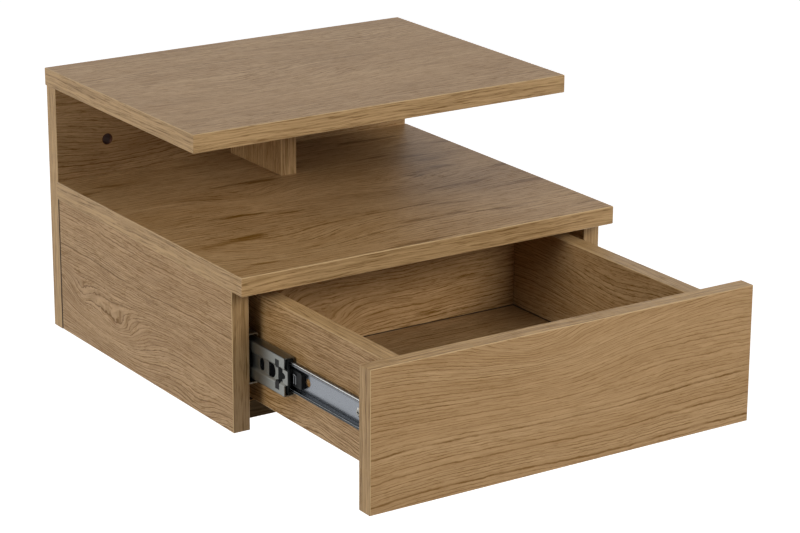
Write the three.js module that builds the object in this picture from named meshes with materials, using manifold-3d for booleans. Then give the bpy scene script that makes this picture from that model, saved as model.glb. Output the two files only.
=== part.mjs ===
// Floating nightstand: two shelves on a back panel, and a drawer on ball-bearing runners.
// Millimetres. X runs along the wall, the wall is the plane y = 0, the front faces -Y and Z is up.
// The origin of the whole is on the wall face, midway between the two wall-screw holes.
import * as THREE from 'three';
import { mergeVertices } from 'three/addons/utils/BufferGeometryUtils.js';
import Module from 'manifold-3d';

const wasm = await Module();
wasm.setup();

// Whole nightstand
const nightstandWidth = 350;
const nightstandDepth = 320;
const nightstandHeight = 225;
const boardThickness = 15;
const edgeEasing = 0.5;
const endInset = 1; // the upright panels stand in from the ends of the shelves

// Shelves, centre support and wall fixing
const topShelfDepth = 250;
const shelfClearHeight = 80;
const supportReach = 85;
const wallHoleRadius = 4.5;
const wallHoleSpacing = 253;
const wallHoleRise = 30; // above the lower shelf

// Housing of the drawer
const drawerFrontStandOff = 2; // between the closed drawer front and the side panels
const rearJointGap = 0.8;
const railReach = 80;
const railRecess = 21; // behind the front edges of the side panels

// Drawer box
const drawerEndInset = 0.5;
const drawerTopGap = 3;
const drawerBaseGap = 1;
const drawerSideDrop = 6; // from the top of the drawer front to the top of the box
const drawerBoxLift = 2; // above the rail
const drawerBoxOverhang = 2; // the box is longer than its runners
const drawerBottomThickness = 3;
const grooveRise = 12;
const grooveDepth = 5;
const grooveClearance = 0.3;

// How far the middle runners stand out, with the drawer fully out on them
const middleRunnerOut = 52;

// Ball-bearing runner: sections, measured from the side panel towards the drawer
const runnerSpace = 13;
const runnerDrop = 5; // from the middle of the drawer side to the runner's middle line
const runnerRearGap = 35; // to the back panel
const runnerRecess = 3; // behind the front edges of the side panels
const drawerRunnerEndGap = 0.5;
const runningGap = 0.4;
const bendRadius = 1.2;
const cabinetRunnerHeight = 41;
const cabinetRunnerGauge = 1.1;
const cabinetRunnerReach = 9.6;
const cabinetRunnerLip = 2.2;
const middleRunnerHeight = 31;
const middleRunnerGauge = 1;
const middleRunnerReach = 11.4;
const middleRunnerLip = 1.8;
const middleRunnerShortfall = 4;
const middleBandWidth = 8.3;
const middleBendRadius = 0.3;
const middleWebStep = 1.7;
const drawerRunnerHeight = 22.5;
const drawerRunnerGauge = 1;
const ballGrooveDepth = 0.85;
const ballGrooveFlat = 1.4;
const ballGrooveSlope = 0.8;
const rearStopWidth = 24;
const rearStopReach = 7;

// Ball cages
const cageGauge = 0.5;
const ballPlay = 0.2;
const outerCageLength = 100;
const innerCageLength = 90;
const outerCageStopMargin = 10;
const innerCageStopMargin = 28;
const ballPitch = 14;
const ballEndMargin = 6;

// Slots and holes of the runner, as distances behind its front ends
const ovalSlotSetback = 35;
const ovalSlotWidth = 6.6;
const ovalSlotHeight = 10;
const deeSlotSetback = 20;
const deeSlotWidth = 9.5;
const deeSlotHeight = 11.5;
const clipBarSetback = 10.2;
const clipBarWidth = 5.2;
const clipBarBase = 5.4; // from the runner's middle line
const clipBarTop = 11.6;
const windowRear = 11.3;
const windowHeight = 10.6;
const windowLobeSetback = 4.9; // to the strip of steel across the window's front
const windowNoseSetback = 1.2; // to the strip's hollow
const windowNoseHeight = 5;
const tongueReach = 2.2; // of the web ahead of the bands
const tongueHeight = 11.8;
const cabinetSpareHoleSetback = 66;
const cabinetSpareHolePitch = 64;
const drawerSpareHoleSetback = 112.5;
const drawerSpareHoleRadius = 3.4;
const cabinetSpareHoleRadius = 2.8;
const rearSlotInset = 14; // from the rear end
const rearSlotWidth = 5;
const rearSlotHeight = 10;

// Front clip of the middle runner and release lever of the drawer runner
const clipGauge = 1.3;
const clipOverhang = 3;
const clipReach = 25.5;
const clipHeight = 25;
const clipNeckHeight = 13;
const clipCornerCut = 2.5;
const clipFit = 0.3;
const clipFlangeGap = 0.5;
const clipBossHeight = 0.9; // into the window
const clipEarLength = 6;
const clipEarOverhang = 1;
const clipEarInset = 0.3; // from the lips of the middle runner
const clipEarGap = 0.4; // above and below the drawer runner
const leverLength = 14;
const leverHeight = 13;
const leverGap = 0.3; // from the drawer runner's web
const leverThickness = 3.2;
const leverAhead = 1; // from the middle runner's end to the lever's hook
const leverPivotSetback = 4.5;
const leverPinRadius = 1.6;
const leverPinClearance = 0.3;
const leverPinDepth = 2; // into the lever
const leverHookLength = 2.4;
const leverHookHeight = 3.5;
const leverHookReach = 1.2; // proud of the lever's face
const leverCornerCut = 1.2;
const leverGrooveSetbacks = [6.9, 9.9];
const leverGrooveWidth = 1.3;
const leverGrooveDepth = 1;
const leverGrooveHeight = 8.6;

// Screws of the runners
const runnerScrewHeadRadius = 3.4;
const runnerScrewHeadDepth = 2;
const runnerScrewRadius = 1.8;
const runnerScrewLength = 13;
const cabinetScrewSetback = 34;
const cabinetRearScrewInset = 56; // from the rear end
const panHeadRadius = 3.8;
const panHeadHeight = 1.9;
const panScrewLength = 12;
const drawerScrewSetback = 40.5;
const drawerRearScrewInset = 40; // from the rear end
const screwPointLength = 3;
const crossRecessLength = 3.4;
const crossRecessWidth = 0.9;
const crossRecessDepth = 1.1;

// Housing screws that join board faces to board edges
const housingScrewHeadRadius = 4.8;
const housingScrewHeadDepth = 2.5;
const housingScrewRimDepth = 1;
const housingScrewRadius = 3.4;
const housingScrewLength = 50;
const hexSocketRadius = 2.3;
const hexSocketDepth = 3;
const shelfScrewInset = 65; // from the ends of the back panel
const supportScrewDrop = 25; // below the top shelf
const sidePanelScrewDrop = 40; // below the lower shelf
const footScrewSetback = 75;
const drawerScrewDrop = 18; // below the top of the drawer side

// Cam locks with their bolts, and dowels
const camRadius = 7.4;
const camThickness = 12;
const camCrossWidth = 1.6;
const camCrossLength = 9;
const camCrossDepth = 1.5;
const camBoltReach = 24; // from the board edge to the middle of the cam
const camBoltThreadRadius = 2.5;
const camBoltThreadLength = 10;
const camBoltShankRadius = 3;
const camBoltShankLength = 16;
const camBoltNeckRadius = 1.8;
const camBoltHeadLength = 4;
const camBoltHeadOverlap = 2;
const topCamInset = 74; // from the ends of the back panel
const sideCamSetback = 33; // behind the front edge of a side panel
const drawerCamDrop = 21; // below the top of the drawer side
const dowelRadius = 4;
const dowelLength = 30;
const dowelChamfer = 0.8;
const dowelSeat = 10; // the part of a dowel that is in the side panel
const railDowelInset = 20;
const fitClearance = 0.3;
const holeEndClearance = 0.5;
const cutOverrun = 2;

// How finely round things are faceted
const roundSides = 10;
const wallHoleSides = 20;
const bendSteps = 2;
const ballSides = 6;
const ballRings = 4;
const hexagonSides = 6;
const panCrownShare = 0.62;
const panShoulderShare = 0.45;

// Places that follow from the sizes above
const halfWidth = nightstandWidth / 2;
const panelOuter = halfWidth - endInset;
const panelInner = panelOuter - boardThickness;
const topShelfUnderside = nightstandHeight - boardThickness;
const lowerShelfTop = topShelfUnderside - shelfClearHeight;
const lowerShelfUnderside = lowerShelfTop - boardThickness;
const backPanelFront = -boardThickness;
const sidePanelRear = backPanelFront - rearJointGap;
const sidePanelFront = drawerFrontStandOff + boardThickness - nightstandDepth;
const wallHoleHeight = lowerShelfTop + wallHoleRise;
const railFront = sidePanelFront + railRecess;

const drawerFrontFace = -nightstandDepth;
const drawerFrontRear = drawerFrontFace + boardThickness;
const drawerFrontTop = lowerShelfUnderside - drawerTopGap;
const drawerSideTop = drawerFrontTop - drawerSideDrop;
const drawerSideBase = boardThickness + drawerBoxLift;
const drawerSideOuter = panelInner - runnerSpace;
const drawerSideInner = drawerSideOuter - boardThickness;
const drawerBottomBase = drawerSideBase + grooveRise;

const runnerHeight = (drawerSideBase + drawerSideTop) / 2 - runnerDrop;
const cabinetRunnerFront = sidePanelFront + runnerRecess;
const cabinetRunnerRear = backPanelFront - runnerRearGap;
const runnerLength = cabinetRunnerRear - cabinetRunnerFront;
const stageTravel = runnerLength / 2;
const drawerBoxRear = drawerFrontRear + runnerLength + drawerBoxOverhang;
const drawerBackFace = drawerBoxRear - boardThickness;
const middleRunnerFront = cabinetRunnerFront + middleRunnerShortfall / 2;
const middleRunnerLength = runnerLength - middleRunnerShortfall;
const drawerRunnerFront = drawerFrontRear + drawerRunnerEndGap;
const drawerRunnerRear = drawerRunnerFront + runnerLength;
const middleBandFace = cabinetRunnerGauge + cageGauge + 2 * runningGap;
const middleWebInner = middleBandFace + middleWebStep + middleRunnerGauge;
const drawerFlangeTip = middleWebInner + clipGauge + clipFlangeGap;
const drawerWebFace = runnerSpace - drawerRunnerGauge;
const leverFar = drawerWebFace - leverGap;
const leverNear = leverFar - leverThickness;

/** The same outline points, from first to last and then mirrored top to bottom. */
function mirroredPath(upper) {
  const lower = upper.map(([across, up]) => [across, -up]).reverse();
  return [...upper, ...lower];
}

/** Points of a path whose inner corners are rounded. */
function roundedPath(corners, radius) {
  const path = new THREE.Path();
  const points = corners.map(([across, up]) => new THREE.Vector2(across, up));
  path.moveTo(points[0].x, points[0].y);
  for (let i = 1; i < points.length - 1; i++) {
    const here = points[i];
    const before = points[i - 1].clone().sub(here);
    const after = points[i + 1].clone().sub(here);
    const cut = Math.min(radius, before.length() / 2, after.length() / 2);
    const start = here.clone().add(before.setLength(cut));
    const end = here.clone().add(after.setLength(cut));
    path.lineTo(start.x, start.y);
    path.quadraticCurveTo(here.x, here.y, end.x, end.y);
  }
  path.lineTo(points.at(-1).x, points.at(-1).y);
  return path.getPoints(bendSteps);
}

/** Outline of a bent strip of sheet, whose path is the middle line of its thickness. */
function stripShape(corners, gauge, radius) {
  const middle = roundedPath(corners, radius).filter(
    (point, i, all) => i === 0 || point.distanceTo(all[i - 1]) > Number.EPSILON * runnerLength,
  );
  const side = (sign) => middle.map((point, i) => {
    const before = middle[i === 0 ? 0 : i - 1];
    const after = middle[i === middle.length - 1 ? i : i + 1];
    const incoming = point.clone().sub(before).normalize();
    const outgoing = after.clone().sub(point).normalize();
    const along = incoming.clone().add(outgoing).normalize();
    const straight = i === 0 || i === middle.length - 1;
    const stretch = straight ? 1 : 1 / along.dot(outgoing);
    const normal = new THREE.Vector2(-along.y, along.x);
    return point.clone().addScaledVector(normal, sign * stretch * gauge / 2);
  });
  return new THREE.Shape([...side(1), ...side(-1).reverse()]);
}

/** A geometry whose own X, Y and Z are laid along three axes of the model. */
function turnedTo(geometry, xAxis, yAxis, zAxis) {
  return geometry.applyMatrix4(new THREE.Matrix4().makeBasis(xAxis, yAxis, zAxis));
}

const alongX = new THREE.Vector3(1, 0, 0);
const alongY = new THREE.Vector3(0, 1, 0);
const alongZ = new THREE.Vector3(0, 0, 1);

/** A shape drawn in depth and height, given a thickness across the runner. */
function upright(shape, near, thickness) {
  const options = { depth: thickness, bevelEnabled: false, curveSegments: roundSides };
  const geometry = turnedTo(new THREE.ExtrudeGeometry(shape, options), alongY, alongZ, alongX);
  return geometry.translate(near, 0, 0);
}

/** A section drawn across and up, drawn out along the runner from its front end. */
function profiled(shape, front, length) {
  const options = { depth: length, bevelEnabled: false, curveSegments: roundSides };
  const geometry = new THREE.ExtrudeGeometry(shape, options).rotateX(Math.PI / 2);
  return geometry.translate(0, front + length, 0);
}

/** Rectangle between two corners, as a shape. */
function rectangle(left, low, right, high) {
  const corners = [[left, low], [right, low], [right, high], [left, high]];
  return new THREE.Shape(corners.map(([across, up]) => new THREE.Vector2(across, up)));
}

/** A plain block between two corners. */
function block(low, high) {
  const size = high.map((value, i) => value - low[i]);
  const centre = high.map((value, i) => (value + low[i]) / 2);
  return new THREE.BoxGeometry(...size).translate(...centre);
}

/** A board between two corners, eased along the edges of its two faces. */
function board(low, high, thickness) {
  const order = { x: [1, 2, 0], y: [2, 0, 1], z: [0, 1, 2] }[thickness];
  const [first, second, third] = order;
  const shape = rectangle(low[first], low[second], high[first], high[second]);
  const geometry = new THREE.ExtrudeGeometry(shape, {
    depth: high[third] - low[third] - 2 * edgeEasing,
    bevelThickness: edgeEasing,
    bevelSize: edgeEasing,
    bevelOffset: -edgeEasing,
    bevelSegments: 1,
  });
  geometry.translate(0, 0, low[third] + edgeEasing);
  const axes = [alongX, alongY, alongZ];
  return turnedTo(geometry, axes[first], axes[second], axes[third]);
}

/** A round solid from radius and distance pairs, laid out from a point in a direction. */
function turned(profile, sides = roundSides) {
  const points = profile.map(([radius, distance]) => new THREE.Vector2(radius, distance));
  return new THREE.LatheGeometry(points, sides);
}

/** The same profile, wider all round and longer at its far end, for the hole it goes into. */
function widened(profile, clearance, lengthening) {
  const far = profile.at(-1)[1];
  return profile.map(([radius, distance]) => [
    radius === 0 ? 0 : radius + clearance,
    distance === far ? distance + lengthening : distance,
  ]);
}

/** Lays a turned solid down so that its profile starts at a point and runs in a direction. */
function laid(geometry, point, direction) {
  const turn = new THREE.Quaternion().setFromUnitVectors(alongY, direction);
  const place = new THREE.Matrix4().compose(point, turn, new THREE.Vector3(1, 1, 1));
  return geometry.clone().applyMatrix4(place);
}

/** A straight bore from a point in a direction. */
function bore(point, direction, radius, depth, sides = roundSides) {
  const profile = [[0, 0], [radius, 0], [radius, depth], [0, depth]];
  return laid(turned(profile, sides), point, direction);
}

/** A closed solid with merged corners, no collapsed faces and its faces pointing out. */
function solidOf(geometry) {
  const bare = geometry.clone();
  bare.deleteAttribute('normal');
  bare.deleteAttribute('uv');
  const merged = mergeVertices(bare);
  const index = merged.index.array;
  const kept = [];
  for (let i = 0; i < index.length; i += 3) {
    const [a, b, c] = [index[i], index[i + 1], index[i + 2]];
    if (a !== b && b !== c && c !== a) kept.push(a, b, c);
  }
  const build = (faces) => new wasm.Manifold(new wasm.Mesh({
    numProp: 3,
    vertProperties: merged.attributes.position.array,
    triVerts: new Uint32Array(faces),
  }));
  const solid = build(kept);
  return solid.volume() > 0 ? solid : build(kept.reverse());
}

/** The geometry of a solid. */
function geometryOf(solid) {
  const mesh = solid.getMesh();
  const geometry = new THREE.BufferGeometry();
  geometry.setAttribute('position', new THREE.BufferAttribute(mesh.vertProperties, 3));
  geometry.setIndex(new THREE.BufferAttribute(mesh.triVerts, 1));
  geometry.computeVertexNormals();
  return geometry;
}

/** A geometry with others cut out of it. */
function cut(geometry, ...tools) {
  return geometryOf(tools.reduce((solid, tool) => solid.subtract(solidOf(tool)), solidOf(geometry)));
}

/** Several geometries joined into one. */
function joined(geometry, ...others) {
  return geometryOf(others.reduce((solid, other) => solid.add(solidOf(other)), solidOf(geometry)));
}

const finishes = {
  oak: { color: 0xa9825a, roughness: 0.62, metalness: 0 },
  galvanised: { color: 0xb9bfc4, roughness: 0.34, metalness: 0.9 },
  blackPlastic: { color: 0x17181a, roughness: 0.45, metalness: 0 },
  zincPlated: { color: 0xaaa9a2, roughness: 0.4, metalness: 0.85 },
  beech: { color: 0xc9a877, roughness: 0.7, metalness: 0 },
};

/** Adds a named piece to a group, in a finish of its own. */
function piece(group, name, geometry, finish) {
  const material = new THREE.MeshStandardMaterial({ ...finishes[finish], flatShading: true });
  const mesh = new THREE.Mesh(geometryOf(solidOf(geometry)), material);
  mesh.name = name;
  group.add(mesh);
  return mesh;
}

/** Adds a turned piece whose profile starts at a point and runs in a direction. */
function turnedPiece(group, name, profile, point, direction, finish, ...recess) {
  const mesh = piece(group, name, cut(turned(profile), ...recess), finish);
  mesh.position.copy(point);
  mesh.quaternion.setFromUnitVectors(alongY, direction);
  return mesh;
}

const left = -1;
const right = 1;
const sides = { left, right };
const towardsWall = alongY;
const towardsFront = alongY.clone().negate();
const upwards = alongZ;
const downwards = alongZ.clone().negate();
const outwards = (side) => alongX.clone().multiplyScalar(side);
const inwards = (side) => alongX.clone().multiplyScalar(-side);
const at = (x, y, z) => new THREE.Vector3(x, y, z);

// Profiles of the fasteners, from the seat of the head into the board
const housingScrewProfile = [
  [0, 0],
  [housingScrewHeadRadius, 0],
  [housingScrewHeadRadius, housingScrewRimDepth],
  [housingScrewRadius, housingScrewRimDepth + housingScrewHeadDepth],
  [housingScrewRadius, housingScrewLength - screwPointLength],
  [0, housingScrewLength],
];
const runnerScrewProfile = [
  [0, 0],
  [runnerScrewHeadRadius, 0],
  [runnerScrewRadius, runnerScrewHeadDepth],
  [runnerScrewRadius, runnerScrewLength - screwPointLength],
  [0, runnerScrewLength],
];
const panScrewProfile = [
  [0, -panHeadHeight],
  [panHeadRadius * panCrownShare, -panHeadHeight],
  [panHeadRadius, -panHeadHeight * panShoulderShare],
  [panHeadRadius, 0],
  [runnerScrewRadius, 0],
  [runnerScrewRadius, panScrewLength - screwPointLength],
  [0, panScrewLength],
];
const panScrewHoleProfile = [
  [0, -cutOverrun],
  [runnerScrewRadius, -cutOverrun],
  [runnerScrewRadius, panScrewLength - screwPointLength],
  [0, panScrewLength],
];
const camBoltNeckEnd = camBoltReach + camBoltHeadOverlap - camBoltHeadLength;
const camBoltEnd = camBoltReach + camBoltHeadOverlap;
const camBoltProfile = [
  [0, -camBoltThreadLength],
  [camBoltThreadRadius, -camBoltThreadLength],
  [camBoltThreadRadius, 0],
  [camBoltShankRadius, 0],
  [camBoltShankRadius, camBoltShankLength],
  [camBoltNeckRadius, camBoltShankLength],
  [camBoltNeckRadius, camBoltNeckEnd],
  [camBoltShankRadius, camBoltNeckEnd],
  [camBoltShankRadius, camBoltEnd],
  [0, camBoltEnd],
];
const dowelProfile = [
  [0, 0],
  [dowelRadius - dowelChamfer, 0],
  [dowelRadius, dowelChamfer],
  [dowelRadius, dowelLength - dowelChamfer],
  [dowelRadius - dowelChamfer, dowelLength],
  [0, dowelLength],
];

/** The cuts of a cross recess in a screw head whose top is at a height on the profile. */
function crossRecess(top) {
  const [long, short] = [crossRecessLength / 2, crossRecessWidth / 2];
  return [[long, short], [short, long]].map(([x, z]) => block(
    [-x, top - cutOverrun, -z],
    [x, top + crossRecessDepth, z],
  ));
}

const runnerScrewRecess = crossRecess(0);
const panScrewRecess = crossRecess(-panHeadHeight);
const hexSocket = bore(
  new THREE.Vector3(0, -cutOverrun, 0),
  alongY,
  hexSocketRadius,
  hexSocketDepth + cutOverrun,
  hexagonSides,
);

/** Hole for a fastener that is driven from a board face. */
function screwHole(profile, point, direction) {
  return laid(turned(widened(profile, fitClearance, holeEndClearance)), point, direction);
}

/** Blind hole for one end of a dowel or the thread of a cam bolt. */
function blindHole(radius, length, point, direction) {
  const start = point.clone().addScaledVector(direction, -cutOverrun);
  return bore(start, direction, radius + fitClearance, length + holeEndClearance + cutOverrun);
}

/** The two cuts in a board that holds a cam: its pocket and the bolt's way in from the edge. */
function camSeat(edgePoint, intoBoard, outOfFace) {
  const centre = edgePoint.clone().addScaledVector(intoBoard, camBoltReach);
  const face = centre.addScaledVector(outOfFace, boardThickness / 2 + cutOverrun);
  const intoFace = outOfFace.clone().negate();
  const depth = camThickness + fitClearance + cutOverrun;
  return [
    bore(face, intoFace, camRadius + fitClearance, depth),
    blindHole(camBoltShankRadius, camBoltReach, edgePoint, intoBoard),
  ];
}

/** A housing screw, whose head sits in a board face. */
function housingScrew(group, name, point, direction) {
  turnedPiece(group, name, housingScrewProfile, point, direction, 'zincPlated', hexSocket);
}

/** A cam in its pocket and the bolt that it draws in, with the bolt's thread in the next board. */
function camLock(group, name, edgePoint, intoBoard, outOfFace) {
  turnedPiece(group, `${name}_cam_bolt`, camBoltProfile, edgePoint, intoBoard, 'zincPlated');
  const centre = edgePoint.clone().addScaledVector(intoBoard, camBoltReach);
  const face = centre.clone().addScaledVector(outOfFace, boardThickness / 2);
  const intoFace = outOfFace.clone().negate();
  const disc = bore(face, intoFace, camRadius, camThickness);
  const mouth = bore(
    edgePoint, intoBoard, camBoltShankRadius + fitClearance, camBoltEnd + holeEndClearance,
  );
  const across = new THREE.Vector3().crossVectors(intoBoard, outOfFace);
  const arm = (first, second) => {
    const half = first.clone().multiplyScalar(camCrossLength / 2);
    half.addScaledVector(second, camCrossWidth / 2).addScaledVector(outOfFace, camCrossDepth);
    const low = face.clone().sub(half);
    const high = face.clone().add(half);
    const corners = [low.clone().min(high), low.clone().max(high)];
    return block(...corners.map((corner) => corner.toArray()));
  };
  const cross = [arm(intoBoard, across), arm(across, intoBoard)];
  piece(group, `${name}_cam`, cut(disc, mouth, ...cross), 'zincPlated');
}

// Carcass
const carcass = new THREE.Group();

const shelfScrewHeight = lowerShelfTop - boardThickness / 2;
const shelfScrewPoint = (side) => at(side * (panelOuter - shelfScrewInset), 0, shelfScrewHeight);
const supportScrewPoint = at(0, 0, topShelfUnderside - supportScrewDrop);
const sidePanelMiddle = panelOuter - boardThickness / 2;
const sidePanelScrewPoint = (side) => at(
  side * sidePanelMiddle, 0, lowerShelfUnderside - sidePanelScrewDrop,
);
const footScrewPoint = at(0, -footScrewSetback, lowerShelfUnderside);
const topCamPoint = (side) => at(
  side * (panelOuter - topCamInset), backPanelFront / 2, topShelfUnderside,
);
const sideCamPoint = (side) => at(
  side * sidePanelMiddle, sidePanelFront + sideCamSetback, lowerShelfUnderside,
);
const railDowelPoints = (side) => [railDowelInset, railReach - railDowelInset].map(
  (setback) => at(side * (panelInner + dowelSeat), railFront + setback, boardThickness / 2),
);
const cabinetScrewPlaces = [
  cabinetRunnerFront + cabinetScrewSetback,
  cabinetRunnerRear - cabinetRearScrewInset,
];
const cabinetScrewPoints = (side) => cabinetScrewPlaces.map(
  (place) => at(side * (panelInner - cabinetRunnerGauge), place, runnerHeight),
);
const housingHole = (point, direction) => screwHole(housingScrewProfile, point, direction);
const threadHole = (point, direction) => blindHole(
  camBoltThreadRadius, camBoltThreadLength, point, direction,
);

function addTopShelf() {
  const low = [-halfWidth, -topShelfDepth, topShelfUnderside];
  const high = [halfWidth, 0, nightstandHeight];
  const holes = [left, right].map((side) => threadHole(topCamPoint(side), upwards));
  piece(carcass, 'top_shelf', cut(board(low, high, 'z'), ...holes), 'oak');
}

function addBackPanel() {
  const low = [-panelOuter, backPanelFront, 0];
  const high = [panelOuter, 0, topShelfUnderside];
  const wallHoles = [left, right].map((side) => bore(
    at(side * wallHoleSpacing / 2, cutOverrun, wallHoleHeight),
    towardsFront,
    wallHoleRadius,
    boardThickness + 2 * cutOverrun,
    wallHoleSides,
  ));
  const screwHoles = [
    shelfScrewPoint(left),
    shelfScrewPoint(right),
    sidePanelScrewPoint(left),
    sidePanelScrewPoint(right),
    supportScrewPoint,
  ].map((point) => housingHole(point, towardsFront));
  const camSeats = [left, right].flatMap(
    (side) => camSeat(topCamPoint(side), downwards, towardsWall),
  );
  const panel = cut(board(low, high, 'y'), ...wallHoles, ...screwHoles, ...camSeats);
  piece(carcass, 'back_panel', panel, 'oak');
}

function addCentreSupport() {
  const low = [-boardThickness / 2, backPanelFront - supportReach, lowerShelfTop];
  const high = [boardThickness / 2, backPanelFront, topShelfUnderside];
  const holes = [
    housingHole(supportScrewPoint, towardsFront),
    housingHole(footScrewPoint, upwards),
  ];
  piece(carcass, 'centre_support', cut(board(low, high, 'x'), ...holes), 'oak');
}

function addLowerShelf() {
  const low = [-halfWidth, -nightstandDepth, lowerShelfUnderside];
  const high = [halfWidth, backPanelFront, lowerShelfTop];
  const holes = [
    housingHole(shelfScrewPoint(left), towardsFront),
    housingHole(shelfScrewPoint(right), towardsFront),
    housingHole(footScrewPoint, upwards),
    threadHole(sideCamPoint(left), upwards),
    threadHole(sideCamPoint(right), upwards),
  ];
  piece(carcass, 'lower_shelf', cut(board(low, high, 'z'), ...holes), 'oak');
}

function addSidePanel(name, side) {
  const [inner, outer] = [side * panelInner, side * panelOuter].sort((a, b) => a - b);
  const low = [inner, sidePanelFront, 0];
  const high = [outer, sidePanelRear, lowerShelfUnderside];
  const holes = [
    housingHole(sidePanelScrewPoint(side), towardsFront),
    ...camSeat(sideCamPoint(side), downwards, inwards(side)),
    ...railDowelPoints(side).map((point) => bore(
      point.clone().addScaledVector(outwards(side), holeEndClearance),
      inwards(side),
      dowelRadius + fitClearance,
      dowelLength,
    )),
    ...cabinetScrewPoints(side).map(
      (point) => screwHole(runnerScrewProfile, point, outwards(side)),
    ),
  ];
  piece(carcass, `${name}_side_panel`, cut(board(low, high, 'x'), ...holes), 'oak');
}

function addFrontRail() {
  const low = [-panelInner, railFront, 0];
  const high = [panelInner, railFront + railReach, boardThickness];
  const holes = [left, right].flatMap((side) => railDowelPoints(side).map(
    (point) => bore(
      point,
      inwards(side),
      dowelRadius + fitClearance,
      dowelLength + holeEndClearance,
    ),
  ));
  piece(carcass, 'front_rail', cut(board(low, high, 'z'), ...holes), 'oak');
}

function addCarcassFittings() {
  for (const [name, side] of Object.entries(sides)) {
    housingScrew(carcass, `${name}_shelf_screw`, shelfScrewPoint(side), towardsFront);
    housingScrew(carcass, `${name}_side_panel_screw`, sidePanelScrewPoint(side), towardsFront);
    camLock(carcass, `${name}_top_shelf`, topCamPoint(side), downwards, towardsWall);
    camLock(carcass, `${name}_side_panel`, sideCamPoint(side), downwards, inwards(side));
    railDowelPoints(side).forEach((point, i) => turnedPiece(
      carcass,
      `${name}_rail_dowel_${i + 1}`,
      dowelProfile,
      point,
      inwards(side),
      'beech',
    ));
  }
  housingScrew(carcass, 'support_back_screw', supportScrewPoint, towardsFront);
  housingScrew(carcass, 'support_foot_screw', footScrewPoint, upwards);
}

// Drawer, built where it is when closed
const drawer = new THREE.Group();

const drawerSideMiddle = drawerSideOuter - boardThickness / 2;
const drawerCamPoint = (side) => at(
  side * drawerSideMiddle, drawerFrontRear, drawerSideTop - drawerCamDrop,
);
const drawerBackScrewPoint = (side) => at(
  side * drawerSideOuter,
  drawerBoxRear - boardThickness / 2,
  drawerSideTop - drawerScrewDrop,
);
const drawerScrewPlaces = [
  drawerRunnerFront + drawerScrewSetback,
  drawerRunnerRear - drawerRearScrewInset,
];
const drawerRunnerScrewPoints = (side) => drawerScrewPlaces.map(
  (place) => at(side * (drawerSideOuter + drawerRunnerGauge), place, runnerHeight),
);
const bottomEdge = drawerSideInner + grooveDepth;
const bottomFront = drawerFrontRear - grooveDepth;
const bottomRear = drawerBackFace + grooveDepth;

/** The space that the drawer bottom slides into, which cuts the grooves of the boards round it. */
function bottomGroove() {
  return block(
    [-bottomEdge, bottomFront, drawerBottomBase],
    [bottomEdge, bottomRear, drawerBottomBase + drawerBottomThickness + grooveClearance],
  );
}

function addDrawerFront() {
  const reach = halfWidth - drawerEndInset;
  const low = [-reach, drawerFrontFace, drawerBaseGap];
  const high = [reach, drawerFrontRear, drawerFrontTop];
  const holes = [left, right].map((side) => threadHole(drawerCamPoint(side), towardsFront));
  const front = cut(board(low, high, 'y'), bottomGroove(), ...holes);
  piece(drawer, 'drawer_front', front, 'oak');
}

function addDrawerSide(name, side) {
  const [inner, outer] = [side * drawerSideInner, side * drawerSideOuter].sort((a, b) => a - b);
  const low = [inner, drawerFrontRear, drawerSideBase];
  const high = [outer, drawerBoxRear, drawerSideTop];
  const holes = [
    ...camSeat(drawerCamPoint(side), towardsWall, outwards(side)),
    housingHole(drawerBackScrewPoint(side), inwards(side)),
    ...drawerRunnerScrewPoints(side).map(
      (point) => screwHole(panScrewHoleProfile, point, inwards(side)),
    ),
  ];
  const panel = cut(board(low, high, 'x'), bottomGroove(), ...holes);
  piece(drawer, `drawer_${name}_side`, panel, 'oak');
}

function addDrawerBack() {
  const low = [-drawerSideInner, drawerBackFace, drawerSideBase];
  const high = [drawerSideInner, drawerBoxRear, drawerSideTop];
  const holes = [left, right].map(
    (side) => housingHole(drawerBackScrewPoint(side), inwards(side)),
  );
  const panel = cut(board(low, high, 'y'), bottomGroove(), ...holes);
  piece(drawer, 'drawer_back', panel, 'oak');
}

function addDrawerBottom() {
  const low = [-bottomEdge + grooveClearance, bottomFront + grooveClearance, drawerBottomBase];
  const high = [
    bottomEdge - grooveClearance,
    bottomRear - grooveClearance,
    drawerBottomBase + drawerBottomThickness,
  ];
  piece(drawer, 'drawer_bottom', block(low, high), 'oak');
}

function addDrawerFittings() {
  for (const [name, side] of Object.entries(sides)) {
    camLock(drawer, `drawer_${name}`, drawerCamPoint(side), towardsWall, outwards(side));
    housingScrew(drawer, `drawer_${name}_back_screw`, drawerBackScrewPoint(side), inwards(side));
  }
}

// Runner sections, drawn with the side panel at zero and the drawer at runnerSpace
const cabinetHalf = (cabinetRunnerHeight - cabinetRunnerGauge) / 2;
const middleHalf = (middleRunnerHeight - middleRunnerGauge) / 2;
const drawerHalf = (drawerRunnerHeight - drawerRunnerGauge) / 2;
const cabinetPath = mirroredPath([
  [cabinetRunnerReach - cabinetRunnerGauge / 2, cabinetHalf - cabinetRunnerLip],
  [cabinetRunnerReach - cabinetRunnerGauge / 2, cabinetHalf],
  [cabinetRunnerGauge / 2, cabinetHalf],
]);
const bandLine = middleBandFace + middleRunnerGauge / 2;
const bandEdge = middleRunnerHeight / 2 - middleBandWidth;
const middlePath = mirroredPath([
  [middleRunnerReach - middleRunnerGauge / 2, middleHalf - middleRunnerLip],
  [middleRunnerReach - middleRunnerGauge / 2, middleHalf],
  [bandLine, middleHalf],
  [bandLine, bandEdge],
  [bandLine + middleWebStep, bandEdge - middleWebStep],
]);
const ballGrooveMiddle = drawerFlangeTip + ballGrooveSlope + ballGrooveFlat / 2;
const grooveNear = ballGrooveMiddle - ballGrooveFlat / 2;
const grooveFar = ballGrooveMiddle + ballGrooveFlat / 2;
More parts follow.
